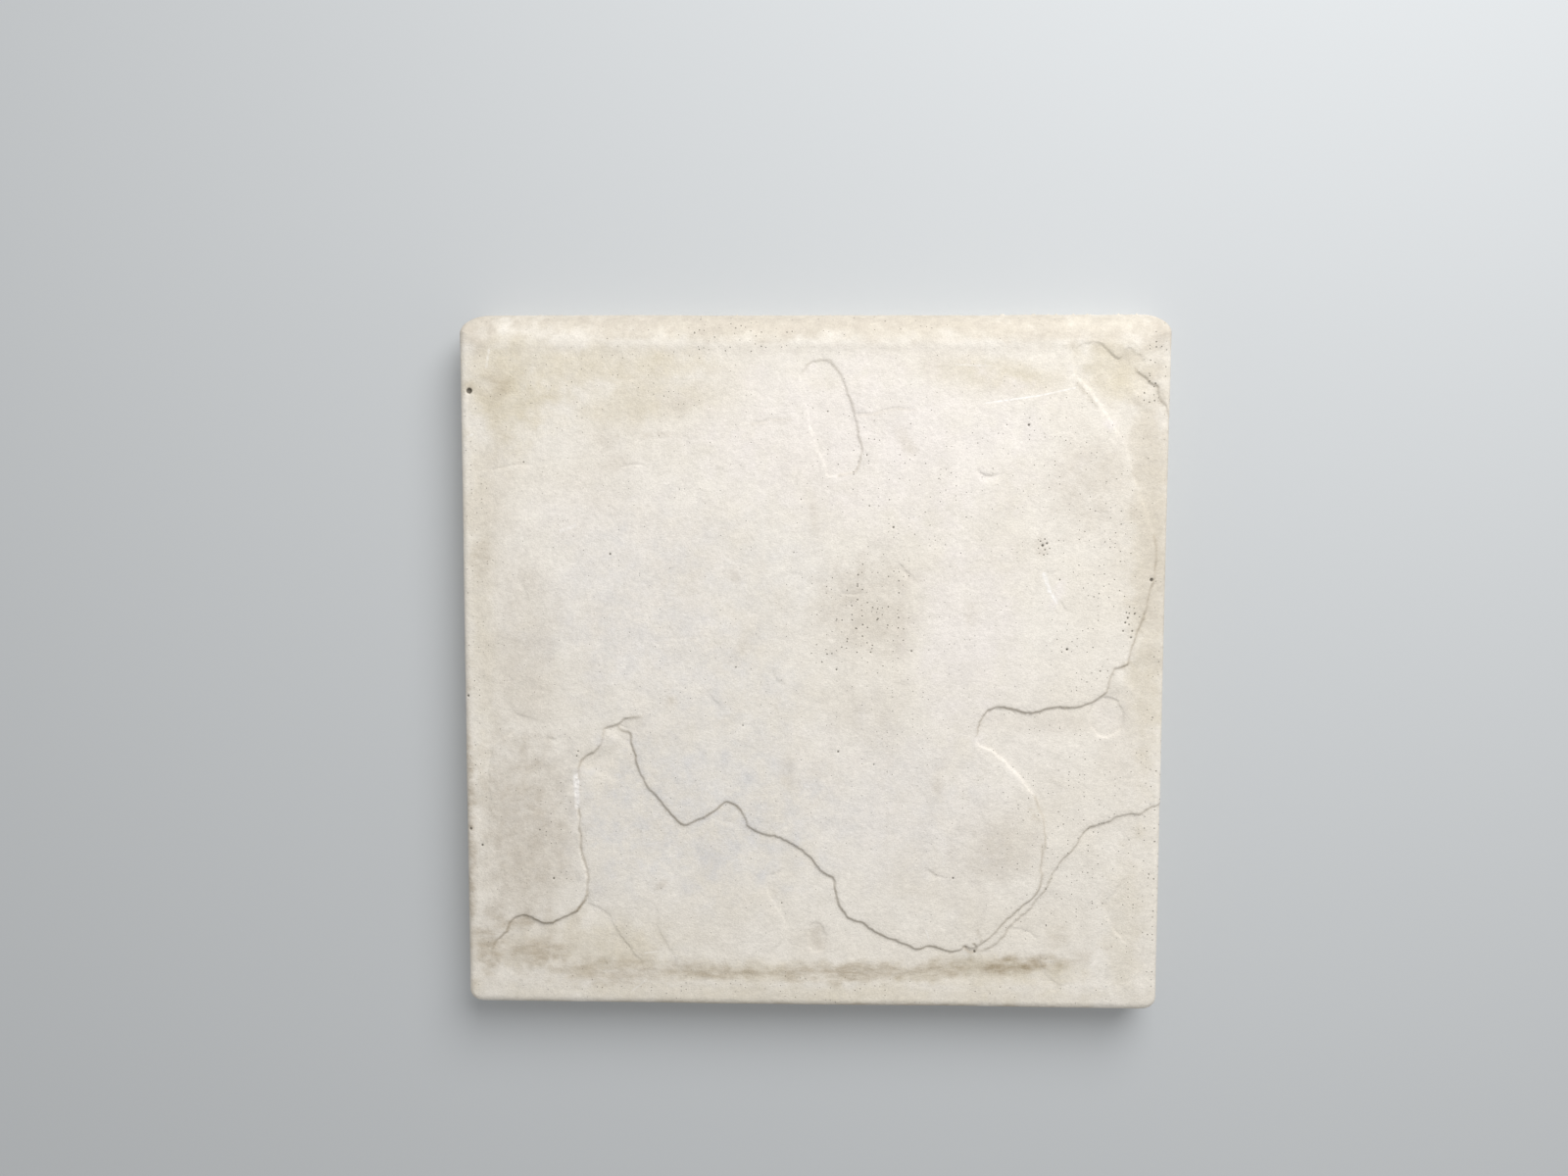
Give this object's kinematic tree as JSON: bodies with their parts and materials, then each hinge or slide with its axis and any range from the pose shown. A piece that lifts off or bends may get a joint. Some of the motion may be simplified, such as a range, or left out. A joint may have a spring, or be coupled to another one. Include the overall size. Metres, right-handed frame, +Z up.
{
  "type": "pool coping stone",
  "caption": "Square cast concrete pool coping stone with a riven slate-like face and one rounded nose edge for the water side.",
  "frame": {"origin": "middle of the bedding face, the flat underside that lies in the mortar", "axes": "+Z up through the walking face, +Y towards the pool (the rounded nose is the +Y edge), X along the nose and the pool's edge"},
  "size_m": [0.5, 0.5, 0.04],
  "materials": {
    "cast_concrete": "matte, fine cast face with faint riven relief"
  },
  "bodies": {
    "root": {"coping_stone": "cast_concrete"}
  },
  "joints": []
}
